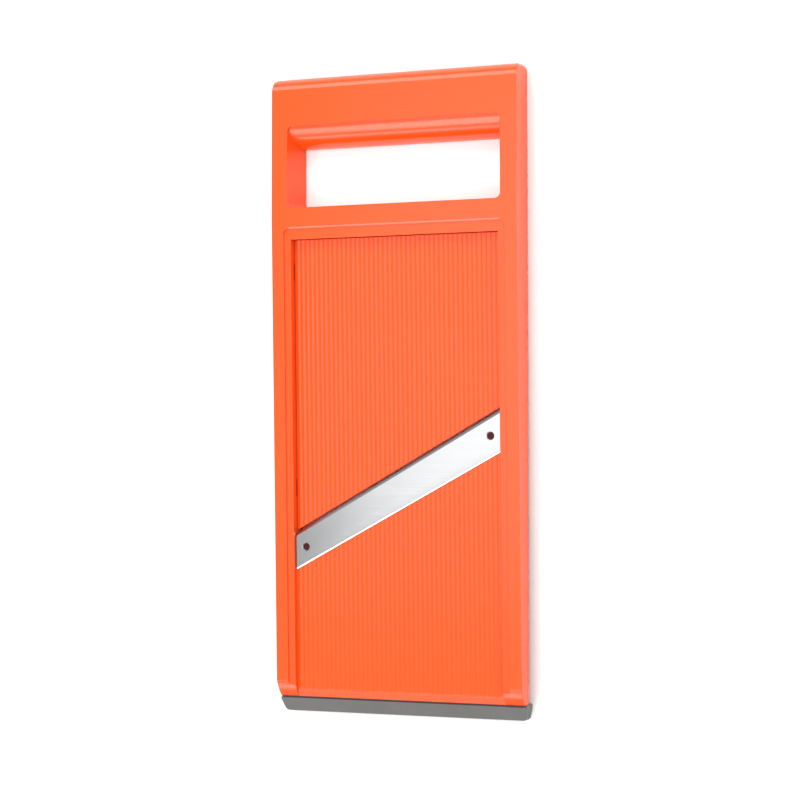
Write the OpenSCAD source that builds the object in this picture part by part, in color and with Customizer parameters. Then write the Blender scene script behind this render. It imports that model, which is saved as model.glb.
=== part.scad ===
// Mandoline slicer lying on its back: +Y towards the handle, +Z out of the slicing face.
// The origin is under the middle of its length and width, on the surface it rests on.
// Distances called "from_top" run from the handle end towards the foot.

/* [Body] */
// Width over the two side rails
body_w = 137; // [130:0.5:145]
// Length of the moulded frame, from the handle end to the foot seam
frame_len = 321.8; // [315:0.5:330]
// Depth of the frame at the handle end
handle_depth = 14.8; // [14.6:0.1:18]
// Angle of the handle's face to the surface the slicer rests on
handle_rise = 1.24; // [1:0.01:1.5]
// Slope of the slicing face down towards the foot
bed_slope = 0.44; // [0.3:0.01:0.6]
// Where the handle's face folds into the slicing face, from the handle end
fold_from_top = 73.3; // [72:0.1:75]
// Height of the frame's back over the resting surface at the foot seam
back_lift = 4.9; // [4.5:0.1:6]
// Radius of the handle end's front edge
end_round = 8.4; // [6:0.1:9]
// Angle at which that rounding leaves the face
end_crease = 15; // [5:1:20]
// Length of the sloping end of the rails, next to the foot
bevel_len = 8.3; // [6:0.1:9]
// Drop of the rails' face over that length
bevel_drop = 4.8; // [4:0.1:6]
// How far that sloping end bows outwards, as an angle at each end
bevel_bow = 12; // [4:1:16]
// How much narrower each side gets over that length
bevel_taper = 0.2; // [0:0.1:1.5]
// Thickness of the moulded walls
wall = 2.2; // [1.8:0.1:2.6]

/* [Handle opening] */
// Flat width left beside the opening
opening_side = 8.7; // [8:0.1:10]
// Upper edge of the opening, from the handle end
opening_top = 25.1; // [22:0.1:26]
// Lower edge of the opening, from the handle end
opening_bottom = 67.9; // [64:0.1:68.5]
// How far the side walls lean in from the face to the back
opening_lean = 4; // [2:0.1:5]
// Corner radius of the opening
opening_round = 3; // [2:0.1:5]
// Step behind the face at the grip's edge
grip_step = 1.2; // [1:0.1:1.3]
// Radius of the rolled grip under the handle bar
grip_round = 13; // [12:0.1:13.2]
// Angle at which the grip leaves the face
grip_lead = 8; // [4:1:12]

/* [Beds] */
// Flat width outside the rim
rim_side = 6.7; // [6:0.1:8]
// Upper edge of the rim, from the handle end
rim_top = 78.8; // [77:0.1:81]
// Depth of the rim's ledge below the face
ledge_drop = 0.9; // [0.5:0.1:1.2]
// Width of both beds
bed_w = 116; // [110:0.5:116]
// Upper edge of the run-in bed, from the handle end
bed_top = 84.3; // [83:0.1:86]
// Rib crests of the run-in bed, below the face
infeed_drop = 4.7; // [4.4:0.1:5]
// Rib crests of the run-out bed, below the face
outfeed_drop = 3.1; // [2.9:0.1:3.3]
// Length of the run-out bed's sloping end, next to the foot
bed_end_len = 4.4; // [3.5:0.1:5]
// Distance from rib to rib
rib_pitch = 2.6; // [2:0.1:4]
// Width of one rib
rib_w = 1.8; // [1:0.1:1.9]
// Height of one rib
rib_h = 0.26; // [0.2:0.02:0.6]

/* [Blade] */
// Middle of the cutting edge, from the handle end
edge_from_top = 205.4; // [202:0.1:208]
// Angle of the blade across the beds
blade_angle = 28.76; // [25:0.1:30]
// Width of the blade, measured along the slicer
blade_run = 20; // [18:0.1:22]
// How much wider than that the blade is at its right end, and narrower at its left end
blade_taper = 1.2; // [0:0.1:1.5]
// Thickness of the blade
blade_t = 1; // [0.8:0.1:1.2]
// Width of the ground edge
grind_w = 1.3; // [1:0.1:3]
// Width of the chamfer along the blade's back edge
back_chamfer = 0.9; // [0.4:0.1:1.2]
// Top of the blade, below the face
blade_drop = 2.6; // [2.4:0.05:2.8]
// Free slot between the run-in bed and the cutting edge
slot_w = 1.6; // [1.2:0.1:2]
// Distance of the pins from the middle
pin_x = 52; // [48:0.5:52]
// Radius of the holes in the blade
pin_hole_r = 1.85; // [1.75:0.05:2]

/* [Thickness adjuster] */
// Middle of the dial, from the handle end
dial_from_top = 139.3; // [136:0.1:142]
// Outer radius of the dial
dial_r = 19; // [16:0.5:20]
// Radius of the lifting screw
screw_r = 4; // [3:0.1:5]
// Travel of the run-in bed towards thinner slices
travel_up = 1.5; // [1:0.1:1.5]
// Travel of the run-in bed towards thicker slices
travel_down = 1.8; // [1.6:0.1:2]

/* [Foot] */
// Length of the soft foot beyond the frame
foot_len = 8.2; // [6:0.1:10]
// How far the foot stands proud of the frame's sloping end
foot_proud = 0.5; // [0.2:0.1:1]
// Width of the groove along the foot's seam
seam_groove = 0.9; // [0.2:0.1:1.2]
// Radius of the foot's long corners
foot_round = 1.6; // [1:0.1:3]
// How far the foot stands proud of the frame's sides
foot_side_proud = 0.5; // [0:0.1:1]

/* [Hidden] */
$fn = 48;
orange = [0.98, 0.36, 0.16];
total_len = frame_len + foot_len;
top_y = total_len / 2;
seam_y = top_y - frame_len;
fold_y = top_y - fold_from_top;
fold_z = handle_depth + fold_from_top * tan(handle_rise);
bevel_y = seam_y + bevel_len;
bevel_z = fold_z - (fold_y - bevel_y) * tan(bed_slope);
seam_z = fold_z - (fold_y - seam_y) * tan(bed_slope) - bevel_drop;
back_round = 4.6;
back_pad = 9;
corner_round = 2.5;
far = 40;
past_end = -total_len;

running_gap = 0.2;
guide_gap = 0.2;
fit_gap = 0.05;
handle_skin = 5.4;
handle_core_len = opening_top + 5.5;
grip_back_round = 0.8;
opening_shift = 0.5;
core_margin = 3;
foot_wall = 6;
outfeed_row = 30;

ledge_w = body_w / 2 - rim_side;
rim_lip = 1;
rim_lip_drop = 0.35;
rim_wall = 3.4;
bed_base = -outfeed_drop - rib_h;
bed_skin = bed_base - wall;
rib_count = floor((bed_w - 1) / rib_pitch);
rib_root = 0.6;

plate_skin = 2;
plate_depth = 4.2;
plate_rib = 1.4;
plate_row = 28;
plate_base = -infeed_drop - rib_h;
plate_under = plate_base - plate_skin;
plate_w = bed_w - 2 * running_gap;
edge_y = -(edge_from_top - fold_from_top);
plate_top_y = -bed_top + fold_from_top - running_gap;
plate_end_y = edge_y + slot_w / cos(blade_angle);

back_angle = atan(tan(blade_angle) - 2 * blade_taper / bed_w);
blade_seat = -blade_drop - blade_t;
blade_w = bed_w - 0.9;
blade_gap = 0.2;
edge_t = 0.08;
chamfer_angle = 20;
countersink = 0.35;
pin_r = 1.7;
pin_recess = 0.8;
pin_head_r = 3.2;
pin_head_h = 1.4;
beam_depth = 9.5;
beam_w = 14;
beam_overhang = 1.4;
beam_lip = 1.2;
beam_slope_run = 7;

dial_y = -(dial_from_top - fold_from_top);
bridge_under = -14.3;
bridge_t = 2.2;
bridge_top = bridge_under + bridge_t;
bridge_w = 24;
bridge_l = 130;
strap_w = 18;
tab_len = 12;
washer_t = 0.5;
dial_under = bridge_top + washer_t;
dial_t = plate_under - travel_down - guide_gap - dial_under;
dial_room = 1.5;
scallops = 24;
scallop_r = 1.6;
dimple_place = 0.6 * dial_r;
dimple_r = 2.6;
dimple_h = 0.8;
hub_r = 6.6;
clip_r = 8.6;
clip_t = 0.8;
clip_z = bridge_under + 0.35;
clip_recess = 1.2;
clip_groove = 1;
clip_mouth = 6;
screw_end = -12.7;
screw_chamfer = 0.5;
screw_head_r = 6.5;
screw_head_t = 1.2;
fixing_x = 61.4;
fixing_y = 7;
fixing_r = 1.3;
fixing_head_r = 2.7;
fixing_head_t = 1.4;
fixing_len = 7;
cross_len = 2.6;
cross_w = 0.5;
cross_depth = 0.8;
guide_w = 8;
guide_out = 1.5;
guide_h = 3;
guide_top = plate_under + 1;
guide_places = [[-1, -28], [-1, -140], [1, -28], [1, -82]];

tongue_w = 118;
tongue_len = 3.5;
tongue_t = 1.6;
tongue_z = back_lift + 0.4;
foot_narrowing = 1.3;
foot_front_round = 1.3;
foot_back_round = 0.9;
foot_plan_round = 2.4;
foot_tip = 0.6;
seam_groove_depth = 1.8;

// Points of a circular arc round c, both ends included
function arc(c, r, from, to, steps = 12) =
    [for (i = [0:steps]) c + r * [cos(from + (to - from) * i / steps), sin(from + (to - from) * i / steps)]];

// Height of the frame's back at a place along the slicer
function back_z(y) = back_lift * (top_y - back_pad - y) / (frame_len - back_pad);

// A place on the slicing face: X as it is, Y from the fold, Z out of the face
module on_bed() {
    translate([0, fold_y, fold_z]) rotate([bed_slope, 0, 0]) children();
}

// A place on the blade line: X along the cutting edge, Y square to it towards the handle
module on_edge() {
    translate([0, edge_y, 0]) rotate([0, 0, blade_angle]) children();
}

// An outline in Y and Z, as long as w across the slicer
module across(w) {
    rotate([90, 0, 90]) linear_extrude(w, center = true) children();
}

// Outline across the bed between two slanting lines, each given by its angle and its Y in the middle
module diagonal_area(w, from_y, to_y, from_angle = blade_angle, to_angle = blade_angle) {
    top = w / 2 * tan(from_angle);
    low = w / 2 * tan(to_angle);
    polygon([[-w / 2, from_y - top], [w / 2, from_y + top], [w / 2, to_y + low], [-w / 2, to_y - low]]);
}

// Section of the ribbed surface: a flat base with rounded ribs standing on it
module ribbed_section(w, depth) {
    first = -(rib_count - 1) / 2 * rib_pitch;
    r = (rib_w * rib_w / 4 + rib_h * rib_h) / (2 * rib_h);
    half = asin(rib_w / 2 / r);
    crests = [for (i = [0:rib_count - 1]) each
        arc([first + i * rib_pitch, rib_h - r], r, 90 + half, 90 - half, 6)];
    polygon(concat([[-w / 2, -depth], [-w / 2, 0]], crests, [[w / 2, 0], [w / 2, -depth]]));
}

module ribbed_slab(w, depth, from_y, to_y) {
    translate([0, from_y, 0]) rotate([90, 0, 0]) linear_extrude(from_y - to_y) ribbed_section(w, depth);
}

module side_outline() {
    crease_z = handle_depth + end_round * (1 - sin(end_crease)) * tan(handle_rise);
    slope = atan((bevel_z - seam_z) / bevel_len);
    bow_r = norm([bevel_len, bevel_z - seam_z]) / 2 / sin(bevel_bow);
    bow_from = 90 + slope - bevel_bow;
    polygon(concat(
        arc([top_y - end_round, crease_z - end_round * cos(end_crease)], end_round, 0, 90 - end_crease),
        [[fold_y, fold_z]],
        arc([bevel_y, bevel_z] - bow_r * [cos(bow_from), sin(bow_from)], bow_r,
            bow_from, bow_from + 2 * bevel_bow, 8),
        [[seam_y, back_z(seam_y)], [top_y - back_pad, 0]],
        arc([top_y - back_round, back_round], back_round, 270, 360)));
}

module plan_outline() {
    polygon(concat(
        arc([body_w / 2 - corner_round, top_y - corner_round], corner_round, 0, 90),
        arc([-body_w / 2 + corner_round, top_y - corner_round], corner_round, 90, 180),
        [[-body_w / 2, bevel_y], [-body_w / 2 + bevel_taper, seam_y],
         [body_w / 2 - bevel_taper, seam_y], [body_w / 2, bevel_y]]));
}

module opening_corner(x, from_top) {
    translate([x, top_y - from_top, 0]) cylinder(r = opening_round, h = 0.1, $fn = 32);
}

// The hand opening, wider at the face than at the back
module hand_opening() {
    front_x = body_w / 2 - opening_side - opening_round;
    hull() {
        for (side = [-1, 1], t = [opening_top + opening_round, opening_bottom - opening_round]) {
            translate([0, 0, fold_z]) opening_corner(side * front_x, t);
            translate([0, 0, -1]) opening_corner(side * (front_x - opening_lean), t - opening_shift);
        }
    }
}

// The rolled underside of the handle bar, which the fingers close round
module grip_roll() {
    face_z = handle_depth + opening_top * tan(handle_rise) - grip_step;
    roll_y = top_y - opening_top - opening_shift;
    centre = [roll_y + grip_round * sin(grip_lead), face_z - grip_round * cos(grip_lead)];
    across(body_w - 2 * opening_side + 1)
        polygon(concat(
            [[roll_y + 2, centre[1] - grip_back_round], [roll_y + 2, face_z]],
            arc(centre, grip_round, 90 + grip_lead, 180, 16),
            arc(centre - [grip_round - grip_back_round, 0], grip_back_round, 180, 270, 8)));
}

// Hollows in the back of the frame, with the stiffening ribs left between them
module cored(x0, x1, from_y, to_y, ceiling, bays) {
    bay = (from_y - to_y + wall) / bays;
    for (i = [0:bays - 1])
        translate([x0, from_y - (i + 1) * bay + wall, ceiling - far])
            cube([x1 - x0, bay - wall, far]);
}

module handle_cores() {
    bays = 8;
    half = body_w / 2 - 2 * wall;
    bay = (2 * half + wall) / bays;
    for (i = [0:bays - 1])
        translate([-half + i * bay, top_y - handle_core_len, handle_depth - handle_skin - far])
            cube([bay - wall, handle_core_len - back_round - guide_gap, far]);
}

module crossbar_cores() {
    bays = 7;
    bay = (bed_w + wall) / bays;
    for (i = [0:bays - 1])
        translate([-bed_w / 2 + i * bay, -bed_top + fold_from_top + wall, -ledge_drop - wall - far])
            cube([bay - wall, bed_top - opening_bottom - 2 * wall - 2 * opening_shift, far]);
}

module rail_cores() {
    inner = bed_w / 2 + rim_wall;
    outer = body_w / 2 - wall;
    ceiling = -ledge_drop - wall;
    clear_of_bridge = bridge_w / 2 + core_margin;
    for (side = [0, 1])
        mirror([side, 0, 0]) {
            cored(inner, outer, -core_margin, dial_y + clear_of_bridge, ceiling, 2);
            cored(inner, outer, dial_y - clear_of_bridge, bevel_y - fold_y + core_margin, ceiling, 6);
        }
}

module outfeed_cores() {
    lengthwise = 5;
    crosswise = 2;
    foot_y = seam_y - fold_y;
    translate([0, 0, bed_skin - far])
        linear_extrude(far)
            difference() {
                diagonal_area(bed_w, edge_y - (beam_overhang + beam_w) / cos(blade_angle), past_end);
                for (i = [1:lengthwise])
                    translate([(i / (lengthwise + 1) - 0.5) * bed_w - wall / 2, past_end])
                        square([wall, -past_end]);
                for (i = [1:crosswise])
                    translate([-bed_w / 2, foot_y + i * outfeed_row]) square([bed_w, wall]);
                translate([-bed_w, 2 * past_end]) square([2 * bed_w, foot_y + foot_wall - 2 * past_end]);
            }
}

module bridge_seats() {
    for (side = [-1, 1])
        translate([side * (bed_w + bridge_l) / 4, dial_y, bridge_top + guide_gap - far / 2]) {
            cube([(bridge_l - bed_w) / 2 + 2 * guide_gap, bridge_w + 2 * guide_gap, far], center = true);
        }
}

module frame_blank() {
    difference() {
        intersection() {
            across(body_w + 1) side_outline();
            translate([0, 0, -1]) linear_extrude(far) plan_outline();
        }
        hand_opening();
        handle_cores();
        on_bed() {
            crossbar_cores();
            rail_cores();
            outfeed_cores();
        }
    }
    difference() {
        grip_roll();
        handle_cores();
    }
}

// The recess inside the rim, open through the sloping end, with a shallow lip along its upper side
module rim_recess() {
    r = corner_round;
    upper_y = -rim_top + fold_from_top;
    translate([0, 0, -ledge_drop])
        linear_extrude(far)
            polygon(concat(
                arc([ledge_w - r, upper_y - r], r, 0, 90),
                arc([-ledge_w + r, upper_y - r], r, 90, 180),
                [[-ledge_w, past_end], [ledge_w, past_end]]));
    across(2 * (ledge_w - r))
        polygon([[upper_y - 1, -ledge_drop], [upper_y, -ledge_drop], [upper_y, -rim_lip_drop],
                 [upper_y + 2 * rim_lip, rim_lip_drop], [upper_y - 1, rim_lip_drop]]);
}

module guide_slots() {
    slot_top = guide_top + travel_up + guide_gap;
    for (g = guide_places)
        translate([g[0] * bed_w / 2, g[1], slot_top - far / 2])
            cube([2 * (guide_out + guide_gap), guide_w + 2 * guide_gap, far], center = true);
}

// The open window of the run-in bed, whose lower side slopes away under the blade
module infeed_window() {
    overhang = beam_overhang / cos(blade_angle);
    lip_z = blade_seat - beam_lip;
    translate([0, 0, -far])
        linear_extrude(2 * far)
            diagonal_area(bed_w, -bed_top + fold_from_top, edge_y - overhang, from_angle = 0);
    intersection() {
        on_edge()
            across(2 * bed_w)
                polygon([[0, lip_z], [-beam_overhang, lip_z],
                         [-beam_overhang - beam_slope_run, -far], [0, -far]]);
        translate([-bed_w / 2, past_end, -far]) cube([bed_w, -past_end, 2 * far]);
    }
}

module pin_places() {
    for (side = [-1, 1])
        translate([side * pin_x, edge_y + side * pin_x * tan(blade_angle) - blade_run / 2, 0])
            children();
}

module fixing_places() {
    for (x = [-fixing_x, fixing_x], y = [-fixing_y, fixing_y])
        translate([x, dial_y + y, 0]) children();
}

module frame() {
    color(orange) {
        difference() {
            frame_blank();
            on_bed() {
                rim_recess();
                translate([0, 0, bed_base])
                    linear_extrude(far) diagonal_area(bed_w, edge_y, past_end);
                translate([0, 0, blade_seat]) linear_extrude(far) blade_area(bed_w, blade_gap);
                infeed_window();
                guide_slots();
                bridge_seats();
                pin_places() {
                    translate([0, 0, -far]) cylinder(r = pin_r + fit_gap, h = 2 * far);
                    translate([0, 0, pin_head_h - beam_depth - far])
                        cylinder(r = pin_head_r + fit_gap, h = far);
                }
                fixing_places()
                    translate([0, 0, bridge_under])
                        cylinder(r = fixing_r + fit_gap, h = fixing_len + guide_gap);
                beam_underside();
            }
            bed_end();
        }
        difference() {
            outfeed_ribs();
            bed_end();
        }
        translate([0, seam_y, tongue_z + tongue_t / 2])
            cube([tongue_w, 2 * tongue_len, tongue_t], center = true);
    }
}

module outfeed_ribs() {
    intersection() {
        on_bed()
            translate([0, 0, bed_base])
                difference() {
                    ribbed_slab(bed_w, rib_root, edge_y + bed_w / 4, past_end);
                    translate([0, 0, -1])
                        linear_extrude(far)
                            diagonal_area(3 * bed_w, edge_y + bed_w, edge_y - blade_run - blade_gap,
                                          to_angle = back_angle);
                }
        across(body_w + 1) side_outline();
    }
}

// Cuts the run-out bed off along its own sloping end
module bed_end() {
    start_y = seam_y + bed_end_len;
    start_z = fold_z - (fold_y - start_y) * tan(bed_slope) - outfeed_drop;
    across(bed_w)
        polygon([[start_y, start_z], [seam_y - bed_end_len, 2 * seam_z - start_z],
                 [seam_y - bed_end_len, far], [start_y, far]]);
}

// Trims the blade's beam to its own depth, so that slices fall clear of it
module beam_underside() {
    translate([0, 0, -beam_depth - far])
        linear_extrude(far)
            diagonal_area(bed_w, edge_y + 5, edge_y - (beam_overhang + beam_w) / cos(blade_angle));
}

module infeed_plate() {
    color(orange)
        on_bed()
            difference() {
                union() {
                    intersection() {
                        translate([0, 0, plate_base]) ribbed_slab(plate_w, plate_depth, plate_top_y, past_end);
                        translate([0, 0, -far])
                            linear_extrude(2 * far)
                                diagonal_area(plate_w, plate_top_y, plate_end_y, from_angle = 0);
                    }
                    for (g = guide_places)
                        translate([g[0] * (plate_w / 2 - 1 + guide_out / 2), g[1], guide_top - guide_h / 2])
                            cube([2 + guide_out, guide_w, guide_h], center = true);
                }
                plate_cores();
                translate([0, dial_y, plate_under - far]) cylinder(r = dial_r + dial_room, h = far);
                translate([0, dial_y, plate_under - 1])
                    cylinder(r = screw_head_r + fit_gap, h = 1 + screw_head_t);
            }
}

// Hollows under the run-in plate, with its stiffening ribs left between them
module plate_cores() {
    bays = 5;
    bay = (plate_w - plate_rib) / bays;
    translate([0, 0, plate_under - far])
        linear_extrude(far)
            difference() {
                diagonal_area(plate_w - 2 * plate_rib, plate_top_y - plate_rib, plate_end_y + 2 * plate_rib,
                              from_angle = 0);
                for (i = [1:bays - 1])
                    translate([-plate_w / 2 + i * bay, past_end]) square([plate_rib, -past_end]);
                for (side = [-1, 1])
                    translate([-plate_w / 2, dial_y + side * plate_row]) square([plate_w, plate_rib]);
            }
}

// Outline of the blade, with room round it at its back edge
module blade_area(w, room) {
    diagonal_area(w, edge_y, edge_y - blade_run - room, to_angle = back_angle);
}

module blade() {
    grind_angle = atan((blade_t - edge_t) / grind_w);
    color("gainsboro")
        on_bed()
            difference() {
                translate([0, 0, blade_seat]) linear_extrude(blade_t) blade_area(blade_w, 0);
                on_edge()
                    translate([0, -grind_w, -blade_drop])
                        rotate([-grind_angle, 0, 0])
                            translate([-bed_w, 0, 0]) cube([2 * bed_w, 3 * grind_w, 3]);
                translate([0, edge_y - blade_run, -blade_drop])
                    rotate([0, 0, back_angle])
                        translate([0, back_chamfer, 0])
                            rotate([chamfer_angle, 0, 0])
                                translate([-bed_w, -3 * back_chamfer, 0])
                                    cube([2 * bed_w, 3 * back_chamfer, 3]);
                pin_places() {
                    translate([0, 0, blade_seat - 1]) cylinder(r = pin_hole_r, h = blade_t + 2);
                    translate([0, 0, -blade_drop - countersink])
                        cylinder(r1 = pin_hole_r, r2 = pin_hole_r + 2 * countersink, h = 2 * countersink);
                }
            }
}

module blade_pins() {
    color([0.45, 0.09, 0.05])
        on_bed()
            pin_places() {
                translate([0, 0, -beam_depth]) cylinder(r = pin_r, h = beam_depth - blade_drop - pin_recess);
                translate([0, 0, -beam_depth]) cylinder(r = pin_head_r, h = pin_head_h);
            }
}

// The soft foot: one bar with rounded corners, moulded over the frame's tongue
module foot() {
    front_z = seam_z + foot_proud;
    low_z = front_z - bevel_drop / bevel_len * (foot_len - foot_tip);
    color([0.45, 0.44, 0.43])
        difference() {
            intersection() {
                across(body_w + 2) foot_side(front_z, low_z);
                translate([0, seam_y + 1, front_z / 2])
                    rotate([90, 0, 0])
                        linear_extrude(foot_len + 2)
                            rounded_bar(body_w + 2 * foot_side_proud, front_z, foot_round);
                translate([0, 0, -1]) linear_extrude(far) foot_plan();
            }
            translate([0, seam_y, tongue_z + tongue_t / 2])
                cube([tongue_w, 2 * tongue_len, tongue_t] + 2 * fit_gap * [1, 1, 1], center = true);
        }
}

module foot_side(front_z, low_z) {
    tip_y = seam_y - foot_len;
    front_centre = [tip_y + foot_front_round, low_z - 0.7 * foot_front_round];
    polygon(concat(
        [[seam_y - seam_groove, front_z], [seam_y - seam_groove, front_z - seam_groove_depth],
         [seam_y, front_z - seam_groove_depth], [seam_y, 0]],
        arc([tip_y + foot_back_round, foot_back_round], foot_back_round, 270, 180, 4),
        arc(front_centre, foot_front_round, 180, 125, 4)));
}

module rounded_bar(w, h, r) {
    polygon([for (corner = [0:3]) each
        arc([(corner % 3 == 0 ? 1 : -1) * (w / 2 - r), (corner < 2 ? 1 : -1) * (h / 2 - r)], r,
            corner * 90, corner * 90 + 90, 8)]);
}

module foot_plan() {
    half = body_w / 2 + foot_side_proud;
    tip = half - foot_narrowing - foot_plan_round;
    low = seam_y - foot_len + foot_plan_round;
    polygon(concat(
        [[half, seam_y + 1], [-half, seam_y + 1]],
        arc([-tip, low], foot_plan_round, 180, 270, 6), arc([tip, low], foot_plan_round, 270, 360, 6)));
}

// The dial: a nut that cannot move along its axis, with a scalloped rim for the finger
module adjuster_dial() {
    color([0.45, 0.44, 0.43])
        on_bed()
            translate([0, dial_y, 0])
                difference() {
                    union() {
                        translate([0, 0, dial_under]) cylinder(r = dial_r, h = dial_t, $fn = 96);
                        translate([0, 0, bridge_under + 2 * fit_gap])
                            cylinder(r = hub_r, h = dial_under - bridge_under);
                    }
                    translate([0, 0, -far]) cylinder(r = screw_r + fit_gap, h = 2 * far);
                    for (i = [0:scallops - 1])
                        rotate([0, 0, i * 360 / scallops])
                            translate([dial_r + 0.4 * scallop_r, 0, dial_under - 1])
                                cylinder(r = scallop_r, h = dial_t + 2, $fn = 24);
                    for (i = [0:2])
                        rotate([0, 0, i * 120])
                            translate([dimple_place, 0, dial_under - 1])
                                cylinder(r = dimple_r, h = 1 + dimple_h);
                    translate([0, 0, clip_z])
                        rotate_extrude()
                            translate([hub_r - clip_groove, 0])
                                square([2 * clip_groove, clip_t + 2 * fit_gap]);
                }
}

module lift_screw() {
    color("silver")
        on_bed()
            translate([0, dial_y, 0]) {
                translate([0, 0, screw_end + screw_chamfer])
                    cylinder(r = screw_r, h = plate_under - screw_end);
                translate([0, 0, screw_end])
                    cylinder(r1 = screw_r - screw_chamfer, r2 = screw_r, h = screw_chamfer);
                translate([0, 0, plate_under]) cylinder(r = screw_head_r, h = screw_head_t - 2 * fit_gap);
            }
}

module friction_washer() {
    color("silver")
        on_bed()
            translate([0, dial_y, bridge_top + fit_gap])
                difference() {
                    cylinder(r = hub_r + 3, h = washer_t - 2 * fit_gap);
                    translate([0, 0, -1]) cylinder(r = hub_r + running_gap, h = 3);
                }
}

// The open ring that keeps the dial's hub in the bridge
module dial_clip() {
    color("silver")
        on_bed()
            translate([0, dial_y, clip_z + fit_gap])
                difference() {
                    cylinder(r = clip_r - 2 * guide_gap, h = clip_t);
                    translate([0, 0, -1]) cylinder(r = hub_r - clip_groove + fit_gap, h = 3);
                    translate([0, -clip_mouth / 2, -1]) cube([2 * clip_r, clip_mouth, 3]);
                }
}

module dial_bridge() {
    color([0.45, 0.44, 0.43])
        on_bed()
            difference() {
                union() {
                    translate([0, dial_y, bridge_under + bridge_t / 2])
                        cube([bridge_l, strap_w, bridge_t], center = true);
                    for (side = [-1, 1])
                        translate([side * (bridge_l - tab_len) / 2, dial_y, bridge_under + bridge_t / 2])
                            cube([tab_len, bridge_w, bridge_t], center = true);
                    translate([0, dial_y, bridge_under]) cylinder(r = bridge_w / 2, h = bridge_t);
                }
                translate([0, dial_y, -far]) cylinder(r = hub_r + fit_gap, h = 2 * far);
                translate([0, dial_y, bridge_under - 1]) cylinder(r = clip_r, h = 1 + clip_recess);
                fixing_places() {
                    translate([0, 0, -far]) cylinder(r = fixing_r + fit_gap, h = 2 * far);
                    translate([0, 0, bridge_under - 0.01])
                        cylinder(r1 = fixing_head_r + fit_gap, r2 = fixing_r + fit_gap, h = fixing_head_t);
                }
            }
}

module bridge_screws() {
    color("silver")
        on_bed()
            fixing_places()
                translate([0, 0, bridge_under])
                    difference() {
                        union() {
                            cylinder(r1 = fixing_head_r, r2 = fixing_r, h = fixing_head_t);
                            cylinder(r = fixing_r, h = fixing_len);
                        }
                        for (turn = [0, 90])
                            rotate([0, 0, turn]) cube([cross_len, cross_w, 2 * cross_depth], center = true);
                    }
}

frame();
infeed_plate();
blade();
blade_pins();
foot();
adjuster_dial();
lift_screw();
friction_washer();
dial_clip();
dial_bridge();
bridge_screws();
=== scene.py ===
"""Looks of the mandoline slicer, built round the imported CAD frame. Every length is in metres."""

import math

import bpy
from mathutils import Matrix, Vector


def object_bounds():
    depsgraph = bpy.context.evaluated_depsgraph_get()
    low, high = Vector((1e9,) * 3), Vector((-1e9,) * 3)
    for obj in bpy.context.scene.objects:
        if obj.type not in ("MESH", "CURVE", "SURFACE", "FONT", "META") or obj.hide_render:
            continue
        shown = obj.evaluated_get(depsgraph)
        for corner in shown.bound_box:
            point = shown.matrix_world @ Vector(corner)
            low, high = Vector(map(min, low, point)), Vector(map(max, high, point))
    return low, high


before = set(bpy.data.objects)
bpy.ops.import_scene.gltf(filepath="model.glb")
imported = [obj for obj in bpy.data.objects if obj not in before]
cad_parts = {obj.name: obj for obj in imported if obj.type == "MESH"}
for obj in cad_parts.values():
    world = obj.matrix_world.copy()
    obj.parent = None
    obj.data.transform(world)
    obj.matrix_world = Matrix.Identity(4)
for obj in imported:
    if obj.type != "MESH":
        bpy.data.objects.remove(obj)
cad_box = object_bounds()

MM = 0.001

# Camera: the photograph's view, as turns from straight above the slicing face and a small shift.
CAMERA_YAW = math.radians(24.37)
CAMERA_PITCH = math.radians(-0.48)
CAMERA_ROLL = math.radians(-0.48)
CAMERA_DISTANCE = 1.2368
CAMERA_ACROSS = -0.0030
CAMERA_ALONG = -0.00325
LENS_MM = 108
SENSOR_MM = 36

STUDIO_LIGHT = 0.52
FLOOR_REACH = 6.0
FLOOR_GAP = 0.2 * MM

BLADE_TURN = math.radians(28.76)
GREY = (0.13, 0.125, 0.12)

# How the CAD meshes are shaded.
WELD_REACH = 0.002 * MM
FLAT_ANGLE = math.radians(0.3)
EDGE_SAMPLES = 6
PIECE_CREASE = 32
MOULDING_CREASE = 12


# ---------------------------------------------------------------- camera, light and floor


def make_camera():
    """The photograph's view: straight down the slicing face, turned towards its right side."""
    back = Vector(
        (
            math.sin(CAMERA_YAW) * math.cos(CAMERA_PITCH),
            math.sin(CAMERA_PITCH),
            math.cos(CAMERA_YAW) * math.cos(CAMERA_PITCH),
        )
    )
    level = Vector((0, 1, 0)).cross(back).normalized()
    upright = back.cross(level)
    right = level * math.cos(CAMERA_ROLL) + upright * math.sin(CAMERA_ROLL)
    up = upright * math.cos(CAMERA_ROLL) - level * math.sin(CAMERA_ROLL)
    data = bpy.data.cameras.new("camera")
    data.lens = LENS_MM
    data.sensor_width = SENSOR_MM
    data.clip_end = 20
    camera = bpy.data.objects.new("camera", data)
    camera.matrix_world = Matrix((right, up, back)).transposed().to_4x4()
    camera.location = back * CAMERA_DISTANCE + right * CAMERA_ACROSS + up * CAMERA_ALONG
    bpy.context.collection.objects.link(camera)
    bpy.context.scene.camera = camera


def make_panel(name, place, size, radiance, tilt_x=0.0, tilt_y=0.0):
    """A softbox that faces straight down before its tilts, in degrees, and shines evenly."""
    data = bpy.data.lights.new(name, "AREA")
    data.shape = "RECTANGLE"
    data.size, data.size_y = size
    data.energy = radiance * math.pi * size[0] * size[1]
    light = bpy.data.objects.new(name, data)
    light.location = place
    light.rotation_euler = (math.radians(tilt_x), math.radians(tilt_y), 0)
    bpy.context.collection.objects.link(light)


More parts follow.
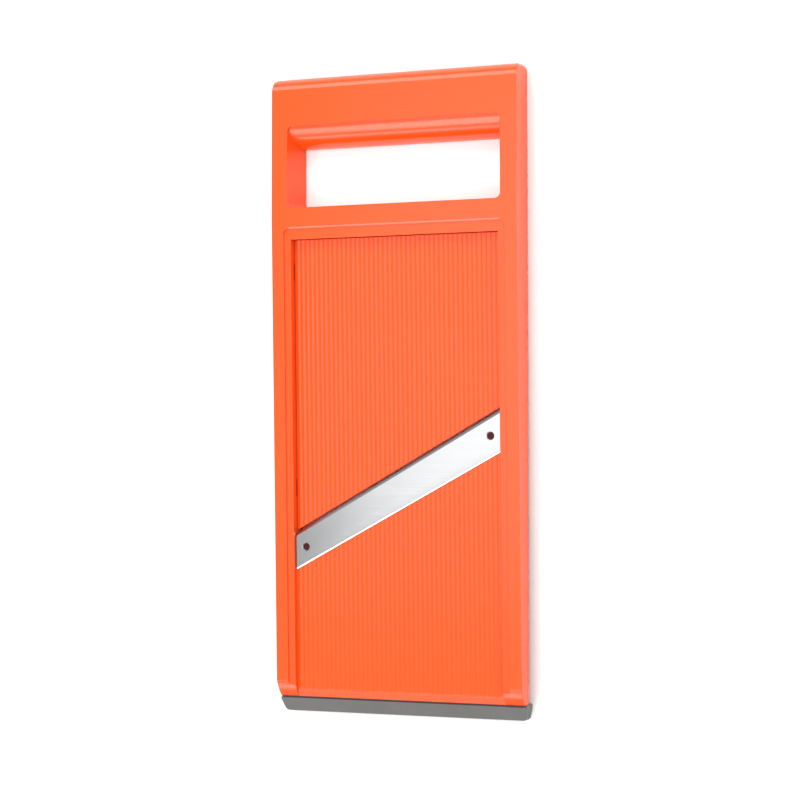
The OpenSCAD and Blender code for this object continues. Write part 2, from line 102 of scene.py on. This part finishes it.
def make_lights():
    """A white studio: softboxes overhead, beyond the handle, at the right and towards the foot."""
    make_world(STUDIO_LIGHT)
    make_panel("overhead", place=(0.18, 0.125, 1.5), size=(1.84, 0.75), radiance=1.7)
    make_panel(
        "beyond_handle", place=(-0.3, 1.75, 1.25), size=(2.0, 1.15), radiance=4.5, tilt_x=-52
    )
    make_panel("right_side", place=(1.6, 0, 0.7), size=(1.6, 2.4), radiance=1.0, tilt_y=66)
    make_panel("high_towards_foot", place=(-1.15, -2.05, 3.0), size=(2.0, 2.1), radiance=5.5)
    make_panel(
        "low_towards_foot", place=(-0.74, -1.6, 0.82), size=(0.9, 0.4), radiance=4.0, tilt_x=60
    )


def make_world(strength):
    world = bpy.data.worlds.new("studio")
    world.use_nodes = True
    background = world.node_tree.nodes["Background"]
    background.inputs["Color"].default_value = (1, 1, 1, 1)
    background.inputs["Strength"].default_value = strength
    bpy.context.scene.world = world


def make_floor():
    """A plain pale floor just under the slicer."""
    reach = FLOOR_REACH
    mesh = bpy.data.meshes.new("floor")
    corners = [(-reach, -reach, 0), (reach, -reach, 0), (reach, reach, 0), (-reach, reach, 0)]
    mesh.from_pydata(corners, [], [(0, 1, 2, 3)])
    floor = bpy.data.objects.new("floor", mesh)
    floor.location.z = cad_box[0][2] - FLOOR_GAP
    bpy.context.collection.objects.link(floor)
    material, shader, _ = new_material("pale_floor", (0.96, 0.96, 0.96), roughness=0.9)
    shader.inputs["Specular IOR Level"].default_value = 0.1
    mesh.materials.append(material)


# ---------------------------------------------------------------- material helpers


def new_material(name, colour, roughness, metallic=0.0):
    material = bpy.data.materials.new(name)
    material.use_nodes = True
    shader = material.node_tree.nodes["Principled BSDF"]
    shader.inputs["Base Color"].default_value = (*colour, 1)
    shader.inputs["Roughness"].default_value = roughness
    shader.inputs["Metallic"].default_value = metallic
    return material, shader, material.node_tree


def add_node(tree, kind, **inputs):
    node = tree.nodes.new(kind)
    for name, value in inputs.items():
        node.inputs[name.replace("_", " ")].default_value = value
    return node


def object_coordinates(tree, scale=(1, 1, 1), turn=0.0):
    source = tree.nodes.new("ShaderNodeTexCoord")
    mapping = add_node(tree, "ShaderNodeMapping", Rotation=(0, 0, turn), Scale=scale)
    tree.links.new(source.outputs["Object"], mapping.inputs["Vector"])
    return mapping.outputs["Vector"]


def noise(tree, vector, scale, detail=3.0):
    node = add_node(tree, "ShaderNodeTexNoise", Scale=scale, Detail=detail, Roughness=0.5)
    tree.links.new(vector, node.inputs["Vector"])
    return node.outputs["Fac"]


def remap(tree, value, low_out, high_out):
    """Stretches the middle of a noise's range over low_out to high_out."""
    node = add_node(
        tree, "ShaderNodeMapRange", From_Min=0.3, From_Max=0.7, To_Min=low_out, To_Max=high_out
    )
    tree.links.new(value, node.inputs["Value"])
    return node.outputs["Result"]


def mix_colour(tree, factor, first, second):
    node = tree.nodes.new("ShaderNodeMix")
    node.data_type = "RGBA"
    node.inputs["A"].default_value = (*first, 1)
    node.inputs["B"].default_value = (*second, 1)
    tree.links.new(factor, node.inputs["Factor"])
    return node.outputs["Result"]


def bump(tree, shader, height, strength, distance, edge):
    """Grain on the surface, over edges that look rounded to a radius of edge."""
    soft = add_node(tree, "ShaderNodeBevel", Radius=edge)
    soft.samples = EDGE_SAMPLES
    node = add_node(tree, "ShaderNodeBump", Strength=strength, Distance=distance)
    tree.links.new(soft.outputs["Normal"], node.inputs["Normal"])
    tree.links.new(height, node.inputs["Height"])
    tree.links.new(node.outputs["Normal"], shader.inputs["Normal"])


# ---------------------------------------------------------------- materials


def orange_plastic():
    material, shader, tree = new_material("orange_plastic", (0.84, 0.08, 0.005), roughness=0.2)
    shader.inputs["IOR"].default_value = 1.5
    vector = object_coordinates(tree)
    tint = remap(tree, noise(tree, vector, scale=9.0, detail=2.0), 0, 1)
    colour = mix_colour(tree, tint, (0.85, 0.082, 0.0055), (0.83, 0.078, 0.0045))
    tree.links.new(colour, shader.inputs["Base Color"])
    gloss = remap(tree, noise(tree, vector, scale=260.0, detail=4.0), 0.18, 0.23)
    tree.links.new(gloss, shader.inputs["Roughness"])
    grain = noise(tree, vector, scale=700.0, detail=2.0)
    bump(tree, shader, grain, strength=0.03, distance=0.2 * MM, edge=0.35 * MM)
    return material


def brushed_blade():
    """Steel with fine brush lines along the blade."""
    material, shader, tree = new_material(
        "blade_steel", (0.47, 0.475, 0.48), roughness=0.17, metallic=1.0
    )
    shader.inputs["Anisotropic"].default_value = 0.2
    lines = noise(tree, object_coordinates(tree, (25, 1600, 1), -BLADE_TURN), scale=1.0)
    tree.links.new(remap(tree, lines, 0.15, 0.19), shader.inputs["Roughness"])
    bump(tree, shader, lines, strength=0.01, distance=0.05 * MM, edge=0.08 * MM)
    return material


def grey_rubber(name, colour, roughness):
    material, shader, tree = new_material(name, colour, roughness)
    vector = object_coordinates(tree)
    dark = tuple(channel * 0.86 for channel in colour)
    patches = remap(tree, noise(tree, vector, scale=60.0, detail=4.0), 0, 1)
    tree.links.new(mix_colour(tree, patches, colour, dark), shader.inputs["Base Color"])
    gloss = remap(tree, noise(tree, vector, scale=400.0), roughness - 0.06, roughness + 0.08)
    tree.links.new(gloss, shader.inputs["Roughness"])
    grain = noise(tree, vector, scale=2200.0)
    bump(tree, shader, grain, strength=0.18, distance=0.2 * MM, edge=0.4 * MM)
    return material


def pins_in_painted_shade():
    # Near-black red is painted shade: the pin tops are coloured as orange plastic lying in the
    # shade at the bottom of the blade's holes.
    material, shader, tree = new_material("pin_plastic", (0.05, 0.006, 0.005), roughness=0.5)
    shader.inputs["Specular IOR Level"].default_value = 0.2
    grain = noise(tree, object_coordinates(tree), scale=1200.0)
    bump(tree, shader, grain, strength=0.15, distance=0.1 * MM, edge=0.1 * MM)
    return material


def turned_steel():
    material, shader, tree = new_material(
        "plain_steel", (0.6, 0.6, 0.6), roughness=0.3, metallic=1.0
    )
    grain = noise(tree, object_coordinates(tree), scale=900.0)
    tree.links.new(remap(tree, grain, 0.25, 0.4), shader.inputs["Roughness"])
    bump(tree, shader, grain, strength=0.05, distance=0.1 * MM, edge=0.1 * MM)
    return material


# ---------------------------------------------------------------- CAD nodes


def dress(node, material, crease=PIECE_CREASE):
    """Gives a CAD node its material, and smooth shading that stops at edges over crease degrees."""
    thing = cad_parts[node]
    thing.data.materials.clear()
    thing.data.materials.append(material)
    for polygon in thing.data.polygons:
        polygon.use_smooth = True
    weld = thing.modifiers.new("weld", "WELD")
    weld.merge_threshold = WELD_REACH
    flat = thing.modifiers.new("flat faces", "DECIMATE")
    flat.decimate_type = "DISSOLVE"
    flat.angle_limit = FLAT_ANGLE
    split = thing.modifiers.new("crisp edges", "EDGE_SPLIT")
    split.split_angle = math.radians(crease)
    split.use_edge_sharp = False
    thing.modifiers.new("even normals", "WEIGHTED_NORMAL")


def dress_all():
    orange = orange_plastic()
    grey = grey_rubber("grey_plastic", GREY, roughness=0.42)
    steel = turned_steel()
    dress("frame", orange, MOULDING_CREASE)
    dress("infeed_plate", orange, MOULDING_CREASE)
    dress("blade", brushed_blade())
    dress("blade_pins", pins_in_painted_shade())
    dress("foot", grey_rubber("soft_foot", GREY, roughness=0.55))
    dress("adjuster_dial", grey)
    dress("dial_bridge", grey)
    for name in ("lift_screw", "friction_washer", "dial_clip", "bridge_screws"):
        dress(name, steel)


dress_all()
make_camera()
make_lights()
make_floor()
bpy.context.scene.view_settings.view_transform = "Standard"
